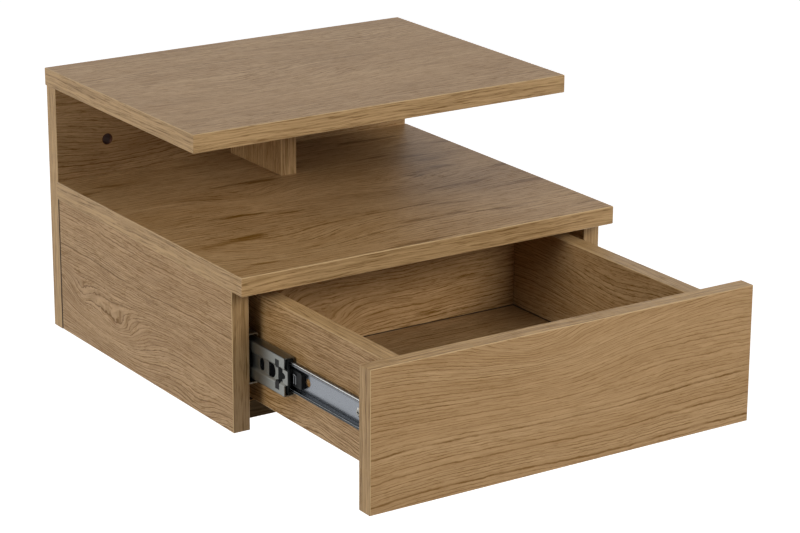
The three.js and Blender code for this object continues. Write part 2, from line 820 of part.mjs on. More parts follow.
const drawerPath = mirroredPath([
  [grooveNear - ballGrooveSlope, drawerHalf],
  [grooveNear, drawerHalf - ballGrooveDepth],
  [grooveFar, drawerHalf - ballGrooveDepth],
  [grooveFar + ballGrooveSlope, drawerHalf],
  [runnerSpace - drawerRunnerGauge / 2, drawerHalf],
]);

const outerBallRise = (cabinetRunnerHeight / 2 - cabinetRunnerGauge + middleRunnerHeight / 2) / 2;
const outerBallRadius = outerBallRise - middleRunnerHeight / 2 - ballPlay;
const outerBallAcross = (middleBandFace + cabinetRunnerReach) / 2;
const innerBallOuterFace = middleRunnerHeight / 2 - middleRunnerGauge;
const innerBallInnerFace = drawerRunnerHeight / 2 - ballGrooveDepth;
const innerBallRise = (innerBallOuterFace + innerBallInnerFace) / 2;
const innerBallRadius = innerBallRise - innerBallInnerFace - ballPlay;

/** A hole straight through the web of a runner section. */
function webHole(setback, radius) {
  return bore(at(-cutOverrun, setback, 0), alongX, radius, runnerSpace + 2 * cutOverrun);
}

/** A slot through a web, rounded at its top and bottom. */
function ovalSlot(setback, width, height) {
  const radius = width / 2;
  const straight = height / 2 - radius;
  const shape = new THREE.Shape();
  shape.absarc(setback, straight, radius, 0, Math.PI);
  shape.absarc(setback, -straight, radius, Math.PI, 2 * Math.PI);
  return upright(shape, -cutOverrun, runnerSpace + 2 * cutOverrun);
}

/** A slot through a web, flat at the rear and round towards the front. */
function deeSlot(setback, width, height) {
  const radius = height / 2;
  const rear = setback + width / 2;
  const shape = new THREE.Shape();
  shape.moveTo(rear, -radius);
  shape.lineTo(rear, radius);
  shape.absellipse(setback, 0, width / 2, radius, Math.PI / 2, 3 * Math.PI / 2);
  return upright(shape, -cutOverrun, runnerSpace + 2 * cutOverrun);
}

/** Upper and lower bars, for the clip's barbs and for the cut-outs that they sit in. */
function clipBars(allowance) {
  const middle = middleRunnerFront + clipBarSetback;
  const front = middle - clipBarWidth / 2 - allowance;
  const rear = middle + clipBarWidth / 2 + allowance;
  const base = clipBarBase - allowance;
  const top = clipBarTop + allowance;
  return [rectangle(front, base, rear, top), rectangle(front, -top, rear, -base)];
}

/** The window near the web's end, or what fills it with a margin of inset, with a round nose. */
function windowShape(inset) {
  const half = windowHeight / 2 - inset;
  const rear = middleRunnerFront + windowRear - inset;
  const front = middleRunnerFront + windowLobeSetback + inset;
  const noseReach = windowLobeSetback - windowNoseSetback;
  const shape = new THREE.Shape();
  shape.moveTo(rear, -half);
  shape.lineTo(rear, half);
  shape.lineTo(front, half);
  shape.absellipse(front, 0, noseReach, windowNoseHeight / 2 - inset, Math.PI / 2, 3 * Math.PI / 2);
  shape.lineTo(front, -half);
  return shape;
}

function cabinetRunnerGeometry() {
  const section = stripShape(cabinetPath, cabinetRunnerGauge, bendRadius);
  const channel = profiled(section, cabinetRunnerFront, runnerLength);
  const rearStop = block(
    [cabinetRunnerGauge / 2, cabinetRunnerRear - cabinetRunnerGauge, -rearStopWidth / 2],
    [rearStopReach, cabinetRunnerRear, rearStopWidth / 2],
  );
  const screws = cabinetScrewPlaces.map((place) => screwHole(
    runnerScrewProfile,
    at(cabinetRunnerGauge, place, 0),
    alongX.clone().negate(),
  ));
  const spares = [0, cabinetSpareHolePitch].map((pitch) => webHole(
    cabinetRunnerFront + cabinetSpareHoleSetback + pitch,
    cabinetSpareHoleRadius,
  ));
  return cut(joined(channel, rearStop), ...screws, ...spares);
}

function middleRunnerGeometry() {
  const section = stripShape(middlePath, middleRunnerGauge, middleBendRadius);
  const tongueFront = middleRunnerFront - tongueReach;
  const channel = profiled(section, tongueFront, middleRunnerLength + tongueReach);
  const bandTop = middleRunnerHeight / 2 + cutOverrun;
  const bandCuts = [[tongueHeight / 2, bandTop], [-bandTop, -tongueHeight / 2]].map(
    ([low, high]) => block(
      [0, tongueFront - cutOverrun, low],
      [runnerSpace, middleRunnerFront, high],
    ),
  );
  const openings = [windowShape(0), ...clipBars(clipFit)].map(
    (shape) => upright(shape, -cutOverrun, middleWebInner + 2 * cutOverrun),
  );
  return cut(
    channel,
    ovalSlot(middleRunnerFront + ovalSlotSetback, ovalSlotWidth, ovalSlotHeight),
    deeSlot(middleRunnerFront + deeSlotSetback, deeSlotWidth, deeSlotHeight),
    ovalSlot(middleRunnerFront + middleRunnerLength - rearSlotInset, rearSlotWidth, rearSlotHeight),
    ...bandCuts,
    ...openings,
  );
}

function drawerRunnerGeometry() {
  const section = stripShape(drawerPath, drawerRunnerGauge, bendRadius / 2);
  const channel = profiled(section, drawerRunnerFront, runnerLength);
  const pivot = at(drawerWebFace + drawerRunnerGauge / 2, leverPivotLine, 0);
  const pinLength = pivot.x - leverFar + leverPinDepth;
  const pin = bore(pivot, alongX.clone().negate(), leverPinRadius, pinLength);
  const screws = drawerScrewPlaces.map(
    (place) => webHole(place, runnerScrewRadius + fitClearance),
  );
  const spare = webHole(drawerRunnerFront + drawerSpareHoleSetback, drawerSpareHoleRadius);
  return cut(joined(channel, pin), ...screws, spare);
}

/** A cage: a channel of thin strip with two rows of balls held in its arms. */
function ballCageGeometry(front, length, webLine, across, rise, radius) {
  const end = across + radius;
  const path = mirroredPath([[end, rise], [webLine, rise]]);
  const channel = profiled(stripShape(path, cageGauge, 0), front, length);
  const count = Math.floor((length - 2 * ballEndMargin) / ballPitch) + 1;
  const firstBall = front + (length - (count - 1) * ballPitch) / 2;
  const balls = [];
  for (let i = 0; i < count; i++) {
    for (const level of [rise, -rise]) {
      const ball = new THREE.SphereGeometry(radius, ballSides, ballRings);
      balls.push(ball.translate(across, firstBall + i * ballPitch, level));
    }
  }
  return joined(channel, ...balls);
}

/** Outline of the clip's plate, narrower ahead of the steel and cut at its corners. */
function clipShape() {
  const front = middleRunnerFront - clipOverhang;
  const rear = middleRunnerFront + clipReach;
  const half = clipHeight / 2;
  const neck = clipNeckHeight / 2;
  const upper = [
    [front, neck],
    [middleRunnerFront - clipCornerCut, neck],
    [middleRunnerFront, half],
    [rear - clipCornerCut, half],
    [rear, half - clipCornerCut],
  ];
  return new THREE.Shape(mirroredPath(upper).map(([setback, up]) => new THREE.Vector2(setback, up)));
}

function stopClipGeometry() {
  const plate = upright(clipShape(), middleWebInner, clipGauge);
  const barbNear = middleBandFace + runningGap / 2;
  const barbs = clipBars(0).map(
    (shape) => upright(shape, barbNear, middleWebInner + clipGauge / 2 - barbNear),
  );
  const boss = upright(
    windowShape(clipFit),
    middleWebInner - clipBossHeight,
    clipBossHeight + clipGauge / 2,
  );
  const earBase = drawerRunnerHeight / 2 + clipEarGap;
  const earTop = middleRunnerHeight / 2 - middleRunnerGauge - clipFit;
  const earEnd = middleRunnerReach - middleRunnerGauge - clipEarInset;
  const ears = [[earBase, earTop], [-earTop, -earBase]].map(([low, high]) => block(
    [middleWebInner + clipGauge / 2, middleRunnerFront - clipEarOverhang, low],
    [earEnd, middleRunnerFront + clipEarLength, high],
  ));
  return joined(plate, boss, ...barbs, ...ears);
}

// The lever lies just ahead of the middle runner when the drawer stands open
const leverRear = middleRunnerFront + stageTravel - leverAhead;
const leverFront = leverRear - leverLength;
const leverPivotLine = leverFront + leverPivotSetback;

/** The release lever: a block with two grooves, a hook at its rear and a blind eye for the pin. */
function leverGeometry() {
  const half = leverHeight / 2;
  const corners = mirroredPath([
    [leverRear, half],
    [leverFront + leverCornerCut, half],
    [leverFront, half - leverCornerCut],
  ]);
  const shape = new THREE.Shape(corners.map(([setback, up]) => new THREE.Vector2(setback, up)));
  const body = upright(shape, leverNear, leverThickness);
  const hook = block(
    [leverNear - leverHookReach, leverRear - leverHookLength, half - leverHookHeight],
    [leverNear + leverThickness / 2, leverRear, half],
  );
  const grooves = leverGrooveSetbacks.map((setback) => block(
    [leverNear - cutOverrun, leverFront + setback, -leverGrooveHeight / 2],
    [leverNear + leverGrooveDepth, leverFront + setback + leverGrooveWidth, leverGrooveHeight / 2],
  ));
  const eyeHole = bore(
    at(leverFar + cutOverrun, leverPivotLine, 0),
    alongX.clone().negate(),
    leverPinRadius + leverPinClearance,
    cutOverrun + leverPinDepth + leverPinClearance,
  );
  return cut(joined(body, hook), eyeHole, ...grooves);
}

/** The pieces of one runner. The right-hand runner is the mirror image of the left. */
function addRunner(name, side) {
  const frame = () => {
    const group = new THREE.Group();
    group.position.set(side * panelInner, 0, runnerHeight);
    group.scale.x = -side;
    return group;
  };
  const fixed = frame();
  piece(fixed, `${name}_cabinet_runner`, cabinetRunnerGeometry(), 'galvanised');
  carcass.add(fixed);

  const outerCage = frame();
  outerCage.position.y = -middleRunnerOut / 2;
  const outerCageFront = cabinetRunnerFront + stageTravel / 2 + outerCageStopMargin;
  const outerCageWeb = cabinetRunnerGauge + runningGap + cageGauge / 2;
  piece(outerCage, `${name}_outer_ball_cage`, ballCageGeometry(
    outerCageFront, outerCageLength, outerCageWeb,
    outerBallAcross, outerBallRise, outerBallRadius,
  ), 'galvanised');

  const middle = frame();
  middle.position.y = -middleRunnerOut;
  piece(middle, `${name}_middle_runner`, middleRunnerGeometry(), 'galvanised');
  piece(middle, `${name}_stop_clip`, stopClipGeometry(), 'blackPlastic');

  const innerCage = frame();
  innerCage.position.y = -middleRunnerOut - stageTravel / 2;
  const innerCageFront = middleRunnerFront + innerCageStopMargin + stageTravel / 2;
  const innerCageWeb = middleWebInner + runningGap + cageGauge / 2;
  piece(innerCage, `${name}_inner_ball_cage`, ballCageGeometry(
    innerCageFront, innerCageLength, innerCageWeb,
    ballGrooveMiddle, innerBallRise, innerBallRadius,
  ), 'blackPlastic');

  const moving = frame();
  piece(moving, `${name}_drawer_runner`, drawerRunnerGeometry(), 'galvanised');
  piece(moving, `${name}_release_lever`, leverGeometry(), 'blackPlastic');
  drawer.add(moving);

  const screwEnds = ['front', 'rear'];
  cabinetScrewPoints(side).forEach((point, i) => turnedPiece(
    carcass,
    `${name}_cabinet_runner_${screwEnds[i]}_screw`,
    runnerScrewProfile,
    point,
    outwards(side),
    'zincPlated',
    ...runnerScrewRecess,
  ));
  drawerRunnerScrewPoints(side).forEach((point, i) => turnedPiece(
    drawer,
    `${name}_drawer_runner_${screwEnds[i]}_screw`,
    panScrewProfile,
    point,
    inwards(side),
    'zincPlated',
    ...panScrewRecess,
  ));
  return [outerCage, middle, innerCage];
}

addTopShelf();
addBackPanel();
addCentreSupport();
addLowerShelf();
addSidePanel('left', left);
addSidePanel('right', right);
addFrontRail();
addCarcassFittings();
addDrawerFront();
addDrawerSide('left', left);
addDrawerSide('right', right);
addDrawerBack();
addDrawerBottom();
addDrawerFittings();

const nightstand = new THREE.Group();
nightstand.position.z = -wallHoleHeight;
nightstand.add(carcass, drawer, ...addRunner('left', left), ...addRunner('right', right));
drawer.position.y = -middleRunnerOut - stageTravel;

const model = new THREE.Group();
model.add(nightstand);

export default model;
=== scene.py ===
import math

import bpy
from mathutils import Matrix, Vector


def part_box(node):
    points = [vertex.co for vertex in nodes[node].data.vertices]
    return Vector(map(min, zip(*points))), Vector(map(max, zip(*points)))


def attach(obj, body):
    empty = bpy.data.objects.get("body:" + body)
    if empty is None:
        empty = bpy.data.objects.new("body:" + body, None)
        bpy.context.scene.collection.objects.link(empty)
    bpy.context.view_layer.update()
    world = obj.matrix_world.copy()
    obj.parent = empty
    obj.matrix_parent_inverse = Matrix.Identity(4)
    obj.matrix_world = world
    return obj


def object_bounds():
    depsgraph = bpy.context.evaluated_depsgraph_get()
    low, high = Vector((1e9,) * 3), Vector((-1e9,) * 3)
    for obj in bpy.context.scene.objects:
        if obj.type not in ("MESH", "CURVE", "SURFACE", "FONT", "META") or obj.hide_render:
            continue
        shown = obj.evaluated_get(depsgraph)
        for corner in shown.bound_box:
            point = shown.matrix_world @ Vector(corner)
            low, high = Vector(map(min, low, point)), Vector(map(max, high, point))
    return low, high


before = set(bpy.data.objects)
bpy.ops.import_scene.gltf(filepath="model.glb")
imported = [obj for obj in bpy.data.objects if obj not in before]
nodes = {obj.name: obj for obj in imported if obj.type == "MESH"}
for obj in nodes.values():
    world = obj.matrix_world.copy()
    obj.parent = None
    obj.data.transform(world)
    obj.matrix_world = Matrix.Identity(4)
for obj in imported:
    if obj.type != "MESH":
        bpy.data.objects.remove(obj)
cad_low, cad_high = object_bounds()


def linear(red, green, blue):
    """An sRGB colour from 0 to 255 as linear RGBA."""
    def channel(value):
        share = value / 255
        return share / 12.92 if share <= 0.04045 else ((share + 0.055) / 1.055) ** 2.4
    return (channel(red), channel(green), channel(blue), 1.0)


def scaled(colour, share):
    """A colour made lighter or darker, with its alpha left alone."""
    return tuple(part * share for part in colour[:3]) + (1.0,)


def placed(name, data):
    """A new object with this data, linked into the scene."""
    made = bpy.data.objects.new(name, data)
    bpy.context.scene.collection.objects.link(made)
    return made


# Camera

TARGET = Vector((0.02676, -0.230, -0.08053))
AZIMUTH = math.radians(-33.52)
ELEVATION = math.radians(18.07)
ROLL = math.radians(0.31)
DISTANCE = 2.2725
FOCAL_LENGTH = 125.16
SENSOR_WIDTH = 36
NEAREST = 0.1
FARTHEST = 60

camera_data = bpy.data.cameras.new("camera")
camera_data.lens = FOCAL_LENGTH
camera_data.sensor_width = SENSOR_WIDTH
camera_data.clip_start = NEAREST
camera_data.clip_end = FARTHEST
camera = placed("camera", camera_data)
towards = Vector((
    -math.sin(AZIMUTH) * math.cos(ELEVATION),
    math.cos(AZIMUTH) * math.cos(ELEVATION),
    -math.sin(ELEVATION),
))
camera.location = TARGET - towards * DISTANCE
camera.rotation_mode = "QUATERNION"
straight = towards.to_track_quat("-Z", "Y")
camera.rotation_quaternion = straight @ Matrix.Rotation(ROLL, 3, "Z").to_quaternion()
bpy.context.scene.camera = camera


# Building nodes

class Shader:
    """A node tree, with short calls that add a node and return its output."""

    def __init__(self, tree):
        self.tree = tree
        tree.nodes.clear()

    def node(self, kind, inputs=None, **settings):
        made = self.tree.nodes.new(kind)
        for key, value in settings.items():
            setattr(made, key, value)
        for key, value in (inputs or {}).items():
            self.plug(made.inputs[key], value)
        return made

    def plug(self, socket, value):
        if isinstance(value, bpy.types.NodeSocket):
            self.tree.links.new(value, socket)
        else:
            socket.default_value = value

    def math(self, operation, first, second=0.0, third=0.0, clamp=False):
        made = self.node("ShaderNodeMath", operation=operation, use_clamp=clamp)
        for socket, value in zip(made.inputs, (first, second, third)):
            self.plug(socket, value)
        return made.outputs[0]

    def spread(self, value, low, high, first=0.0, last=1.0):
        """From first at the low value to last at the high one, in a smooth step."""
        return self.node(
            "ShaderNodeMapRange",
            {"Value": value, "From Min": low, "From Max": high, "To Min": first, "To Max": last},
            interpolation_type="SMOOTHSTEP",
        ).outputs["Result"]

    def fade(self, value, low, high):
        """1 up to the low value, 0 from the high one on."""
        return self.spread(value, low, high, 1.0, 0.0)

    def mix(self, share, first, second):
        made = self.node("ShaderNodeMix", data_type="RGBA")
        self.plug(made.inputs[0], share)
        self.plug(made.inputs[6], first)
        self.plug(made.inputs[7], second)
        return made.outputs[2]

    def choose(self, share, first, second):
        made = self.node("ShaderNodeMix", data_type="FLOAT")
        self.plug(made.inputs[0], share)
        self.plug(made.inputs[2], first)
        self.plug(made.inputs[3], second)
        return made.outputs[0]

    def vector(self, x, y, z=0.0):
        return self.node("ShaderNodeCombineXYZ", {0: x, 1: y, 2: z}).outputs[0]

    def split(self, vector):
        return self.node("ShaderNodeSeparateXYZ", {0: vector}).outputs

    def noise(self, vector, scale=1.0, detail=2.0, roughness=0.5):
        return self.node("ShaderNodeTexNoise", {
            "Vector": vector,
            "Scale": scale,
            "Detail": detail,
            "Roughness": roughness,
        }).outputs["Fac"]

    def stretched(self, first, second, third, scales, offset=(0.0, 0.0, 0.0), **settings):
        """Noise over three coordinates, each with a scale and an offset of its own."""
        parts = [
            self.math("MULTIPLY_ADD", part, scale, shift)
            for part, scale, shift in zip((first, second, third), scales, offset)
        ]
        return self.noise(self.vector(*parts), **settings)

    def bump(self, height, strength, distance, normal=None):
        made = self.node("ShaderNodeBump", {
            "Height": height, "Strength": strength, "Distance": distance,
        })
        if normal is not None:
            self.plug(made.inputs["Normal"], normal)
        return made.outputs["Normal"]

    def seen(self):
        """1 for a ray from the camera, a glossy face or a clear one, which sees the background."""
        path = self.node("ShaderNodeLightPath").outputs
        direct = self.math("MAXIMUM", path["Is Camera Ray"], path["Is Glossy Ray"])
        return self.math("MAXIMUM", direct, path["Is Transmission Ray"])

    def finish(self, inputs):
        shader = self.node("ShaderNodeBsdfPrincipled", inputs)
        self.node("ShaderNodeOutputMaterial", {"Surface": shader.outputs[0]})


def new_material(name):
    material = bpy.data.materials.new(name)
    material.use_nodes = True
    return material, Shader(material.node_tree)


def dress(node, material):
    mesh = nodes[node].data
    mesh.materials.clear()
    mesh.materials.append(material)


# Oak-look foil

AXES = {"x": 0, "y": 1, "z": 2}

# The print on the faces and that on the edge bands
FACE_LIGHT = linear(187, 152, 108)
FACE_DEEP = linear(107, 70, 4)
FACE_WARM = linear(162, 124, 78)
BAND_LIGHT = linear(192, 157, 110)
BAND_DEEP = linear(114, 80, 32)
# BAND_SHADE is painted shade for the bands across the grain's ends
BAND_SHADE = linear(20, 12, 6)

# A painted highlight on eased corners, painted shade where boards meet, and the chipboard in a bore
CORNER_HIGHLIGHT = linear(200, 170, 126)
CORNER_SHADE = linear(48, 33, 20)
WELL_SHADE = linear(40, 27, 14)
JOINT_SHADE = linear(56, 38, 20)
CORE_LIGHT = linear(120, 70, 46)
CORE_DARK = linear(36, 24, 17)

# The shine of a gap in painted shade and of a bore's wall
GAP_LUSTRE = 0.03
CORE_LUSTRE = 0.01

# How soft the limit of the painted shade on an eased corner is, in metres
SEAM_SHADE_SOFT = 0.0005

# Where the colour of a bore's wall ends, past its radius
CORE_EDGE = (0.0002, 0.0005)

# How far the painted shade reaches from the walls that stand on a board
WELL_EDGE = (0.0008, 0.0026)

# How far the painted shade at a joint reaches from the board's end
JOINT_EDGE = (0.0012, 0.0004)

# How far the slow drift, the waver and the fine tremble push the fibres aside, in metres
DRIFT = 0.024
WAVER = 0.0062
TREMBLE = 0.0018

# How fine the print's noise is through the board
PRINT_DEPTH = 9.0

# What a figure's rise is multiplied by, and how much the waver roughens its outline
SWELL_GAIN = 1.57
SWELL_RAGGED = -0.9

# The print's share of darkness from rings, from the shade behind them and everywhere
RING_DARK = 0.56
SHADE_DARK = 0.12
EVEN_DARK = 0.22

# How squarely the surface faces along the thickness, where the eased corner meets band and face
BAND_SIDE = (0.30, 0.40)
FACE_SIDE = (0.86, 0.90)


def oak_board(
    node, thickness, grain, seed, figure=(), ring=0.0030, dense=0.0, boldness=1.0,
    smudge=0.12, fuzz=2.1, pitting=0.32, marks=(), tone=1.0, lustre=0.28, end_band_shade=0.0,
    joint=None, bores=(), seam_below=None, well=None,
):
    """Foil on a board's two faces with its grain one way, and bands along its edges.

    figure lists the places where the grain swells: how far along and across the board, how long
    and wide, and how far the fibres are pushed aside.
    ring is the space between growth rings, and dense adds more of them to the upper half.
    boldness is the strength of the rings, smudge that of the dark flecks, fuzz that of the finest
    fibres and pitting that of the short pores.
    marks lists single dark smudges as figure does its places, with how dark each one is.
    tone scales the whole print's lightness, which on some boards below is partly painted shade, and
    on the drawer back painted light; lustre is the foil's shine, and end_band_shade is how much
    painted shade darkens the bands across the grain's ends.
    joint names the end that gets painted shade where it meets another board, as +1 or -1 along the
    grain.
    bores lists holes that show the board's core: place along, place across and radius.
    seam_below is the place across below which the eased corners get painted shade where they meet
    other boards.
    well gives the lowest and highest place along, and then across, between the walls that stand
    on the board, with painted shade along them.
    """
    material, s = new_material("foil_" + node)
    low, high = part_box(node)
    centre = (low + high) / 2
    t, g = AXES[thickness], AXES[grain]
    c = 3 - t - g
    coordinates = s.node("ShaderNodeTexCoord")
    place = [
        s.math("SUBTRACT", part, centre[i])
        for i, part in enumerate(s.split(coordinates.outputs["Object"]))
    ]
    along, across, depth = place[g], place[c], place[t]
    normal = [s.math("ABSOLUTE", part) for part in s.split(coordinates.outputs["Normal"])]
    shift = (seed * 3.7, seed * 1.9, seed * 5.3)
    back = shift[::-1]

    def away(far, wide_at, length=1.0, width=1.0):
        """The squared distance from a place on the board, in its own lengths and widths."""
        first = s.math("MULTIPLY", s.math("SUBTRACT", along, far), 1 / length)
        second = s.math("MULTIPLY", s.math("SUBTRACT", across, wide_at), 1 / width)
        return s.math("MULTIPLY_ADD", second, second, s.math("MULTIPLY", first, first))

    def printed(crossing, per_length, per_width, offset, **settings):
        """Noise of the print, with how fine it is along the grain and across it."""
        scales = (per_length, per_width, PRINT_DEPTH)
        return s.stretched(along, crossing, depth, scales, offset, **settings)

    # The course of the fibres: slow wandering, a fine tremble, and swells about knots
    drift = printed(across, 3.6, 8.0, shift, detail=1.0)
    waver = printed(across, 15.0, 30.0, back)
    tremble = printed(across, 110.0, 180.0, shift, detail=3.0, roughness=0.6)
    course = across
    for wander, reach in ((drift, DRIFT), (waver, WAVER), (tremble, TREMBLE)):
        course = s.math("MULTIPLY_ADD", wander, reach, course)
    for far, wide_at, length, width, rise in figure:
        nearness = s.math("MULTIPLY", away(far, wide_at, length, width), -1.0)
        swell = s.math("EXPONENT", s.math("MULTIPLY_ADD", waver, SWELL_RAGGED, nearness))
        course = s.math("MULTIPLY_ADD", swell, rise * SWELL_GAIN, course)

    # Growth rings as thin lines with a soft shade behind them
    count = s.math("DIVIDE", course, ring)
    if dense:
        count = s.math("MULTIPLY_ADD", s.math("MAXIMUM", course, 0.0), dense / ring, count)
    years = s.noise(s.vector(s.math("MULTIPLY", count, 0.31), seed), detail=1.0)
    phase = s.math("FRACT", s.math("MULTIPLY_ADD", years, 3.4, count))
    line = s.math("MULTIPLY", s.spread(phase, 0.0, 0.04), s.fade(phase, 0.09, 0.24))
    shade = s.fade(phase, 0.10, 1.0)

    # Fibres, pores and broad bands that keep to the same course
    threads = printed(course, 36.0, 700.0, shift, detail=4.0, roughness=0.75)
    dashes = printed(course, 110.0, 900.0, back, roughness=0.6)
    pores = s.spread(s.math("MULTIPLY_ADD", line, 0.06, dashes), 0.54, 0.64)
    bands = printed(course, 4.0, 75.0, shift)
    patches = printed(across, 7.0, 20.0, back)
    breaks = printed(course, 30.0, 260.0, shift)
    flecks = printed(course, 13.0, 85.0, back, detail=3.0)

    # How dark the foil's print is
    strength = s.math("MULTIPLY", s.spread(patches, 0.34, 0.60, 0.60, 1.0), boldness)
    strength = s.math("MULTIPLY", strength, s.spread(breaks, 0.30, 0.55, 0.45, 1.0))
    rings = s.math("MULTIPLY_ADD", shade, SHADE_DARK, s.math("MULTIPLY", line, RING_DARK))
    dark = s.math("MULTIPLY", rings, strength)
    dark = s.math("MULTIPLY_ADD", pores, pitting, dark)
    dark = s.math("MULTIPLY_ADD", s.spread(flecks, 0.57, 0.71), smudge, dark)
    for uneven, amount in ((threads, fuzz), (bands, 0.36), (patches, 0.40)):
        dark = s.math("ADD", dark, s.math("MULTIPLY_ADD", uneven, amount, -amount / 2))
    for far, wide_at, length, width, darkness in marks:
        nearness = s.math("MULTIPLY", away(far, wide_at, length, width), -1.0)
        streaky = s.spread(threads, 0.34, 0.56, 0.35, 1.0)
        spot = s.math("MULTIPLY", s.math("EXPONENT", nearness), streaky)
        dark = s.math("MULTIPLY_ADD", spot, darkness, dark)
    dark = s.math("ADD", dark, EVEN_DARK, clamp=True)
    face = s.mix(dark, scaled(FACE_LIGHT, tone), scaled(FACE_DEEP, tone))
    warmth = s.math("MULTIPLY", s.spread(bands, 0.35, 0.65), 0.25 * tone)
    face = s.mix(warmth, face, FACE_WARM)

    # Edge bands, with their streaks lengthwise
    to_ends = s.spread(s.math("SUBTRACT", normal[g], normal[c]), -0.05, 0.05)
    run = s.choose(to_ends, along, across)
    wave = s.stretched(run, depth, to_ends, (13.0, 45.0, 9.0), shift)
    band_line = s.math("MULTIPLY_ADD", wave, 0.008, depth)
    streaks = s.stretched(
        run, band_line, to_ends, (12.0, 620.0, 7.0), shift, detail=5.0, roughness=0.72,
    )
    specks = s.stretched(run, band_line, to_ends, (60.0, 1100.0, 3.0), back)
    band_dark = s.math("MULTIPLY_ADD", streaks, 3.0, -1.27)
    band_dark = s.math(
        "MULTIPLY_ADD", s.spread(specks, 0.53, 0.64), 0.40, band_dark, clamp=True,
    )
    band = s.mix(band_dark, scaled(BAND_LIGHT, tone), scaled(BAND_DEEP, tone))
    # Painted shade that darkens the bands across the grain's ends
    if end_band_shade:
        band = s.mix(s.math("MULTIPLY", to_ends, end_band_shade), band, BAND_SHADE)

    # The eased corner between face and band gets a painted highlight, paler and patchy
    facing = normal[t]
    colour = s.mix(s.spread(facing, *FACE_SIDE), band, face)
    eased = s.math("MULTIPLY", s.spread(facing, *BAND_SIDE), s.fade(facing, *FACE_SIDE))
    patchy = s.stretched(run, depth, across, (60.0, 60.0, 60.0), shift)
    corner_highlight = s.math("MULTIPLY", eased, s.spread(patchy, 0.25, 0.55, 0.25, 0.85))
    colour = s.mix(corner_highlight, colour, CORNER_HIGHLIGHT)

    # Painted shade where other boards meet or stand on this one, and bores
    if seam_below is not None:
        # Painted shade on the eased corners where they meet other boards
        seam_shade = s.fade(
            across, seam_below - SEAM_SHADE_SOFT - centre[c], seam_below - centre[c],
        )
        colour = s.mix(s.math("MULTIPLY", eased, seam_shade), colour, CORNER_SHADE)
    for far, wide_at, radius in bores:
        off_axis = s.math("SQRT", away(far - centre[g], wide_at - centre[c]))
        core = s.fade(off_axis, radius + CORE_EDGE[0], radius + CORE_EDGE[1])
        colour = s.mix(core, colour, s.mix(patchy, CORE_LIGHT, CORE_DARK))
        lustre = s.choose(core, lustre, CORE_LUSTRE)
    if well:
        off_walls = (
            s.math("SUBTRACT", along, well[0] - centre[g]),
            s.math("SUBTRACT", well[1] - centre[g], along),
            s.math("SUBTRACT", across, well[2] - centre[c]),
            s.math("SUBTRACT", well[3] - centre[c], across),
        )
        # Painted shade along each wall that stands on the board
        for off_wall in off_walls:
            colour = s.mix(s.fade(off_wall, *WELL_EDGE), colour, WELL_SHADE)
    # Painted shade in the joint at the board's end
    if joint:
        end = (high - low)[g] / 2
        towards_end = s.math("MULTIPLY", along, joint)
        joint_shade = s.spread(towards_end, end - JOINT_EDGE[0], end - JOINT_EDGE[1])
        colour = s.mix(joint_shade, colour, JOINT_SHADE)
        lustre = s.choose(joint_shade, lustre, GAP_LUSTRE)

    relief = s.math("MULTIPLY_ADD", pores, -0.5, s.math("MULTIPLY", threads, 0.5))
    gloss = s.math("MULTIPLY_ADD", threads, 0.16, 0.38)
    gloss = s.math("MULTIPLY_ADD", pores, 0.08, gloss)
    s.finish({
        "Base Color": colour,
        "Roughness": gloss,
        "Specular IOR Level": lustre,
        "Normal": s.bump(relief, 0.20, 0.0002),
    })
    dress(node, material)


# Each board: thickness axis, grain axis, seed and figure
oak_board("top_shelf", "z", "x", 1, [
    (-0.06, -0.02, 0.110, 0.050, 0.026), (0.09, 0.06, 0.060, 0.030, 0.014),
], ring=0.0034, boldness=0.8, tone=0.94)
# The lower shelf's lowered tone is painted shade under the top shelf
oak_board("lower_shelf", "z", "x", 2, [
    (-0.10, -0.10, 0.060, 0.030, 0.022), (-0.06, 0.03, 0.040, 0.020, 0.016),
    (0.07, -0.02, 0.070, 0.030, 0.018),
], ring=0.0040, smudge=0.72, fuzz=1.8, tone=0.95, marks=[
    (-0.118, -0.0672, 0.019, 0.0042, 0.95), (-0.148, -0.0708, 0.026, 0.0040, 0.60),
    (-0.087, 0.0430, 0.016, 0.0040, 0.25),
])
oak_board("back_panel", "y", "x", 3, [
    (-0.120, 0.050, 0.060, 0.022, 0.008), (-0.09, 0.075, 0.050, 0.020, 0.010),
], ring=0.0038, boldness=0.85, seam_below=-0.030, bores=[
    (-0.1265, 0.0, 0.0045), (0.1265, 0.0, 0.0045),
])
oak_board("centre_support", "x", "z", 4)
oak_board("left_side_panel", "x", "y", 5, [
    (0.056, -0.028, 0.062, 0.020, 0.023), (0.110, -0.018, 0.024, 0.016, 0.009),
    (0.010, -0.055, 0.060, 0.020, 0.010), (-0.09, -0.055, 0.030, 0.016, 0.008),
], ring=0.0031, dense=0.55, boldness=1.7, joint=1, end_band_shade=0.26)
oak_board("right_side_panel", "x", "y", 6, [
    (-0.05, 0.01, 0.060, 0.025, 0.020),
], joint=1, end_band_shade=0.12)
# The front rail's dark tone is painted shade from the drawer in front of it
oak_board("front_rail", "z", "x", 7, tone=0.17, lustre=GAP_LUSTRE)
oak_board("drawer_front", "y", "x", 8, [
    (-0.030, 0.058, 0.110, 0.070, 0.020), (-0.028, 0.060, 0.034, 0.020, 0.018),
    (0.070, 0.020, 0.050, 0.020, -0.006),
], boldness=1.15, smudge=0.04, fuzz=1.25, pitting=0.18, end_band_shade=0.12)
oak_board("drawer_left_side", "x", "y", 9, [
    (-0.02, -0.036, 0.070, 0.018, -0.009), (0.06, 0.030, 0.050, 0.018, 0.010),
], ring=0.0028, dense=0.3, boldness=2.3, fuzz=2.7)
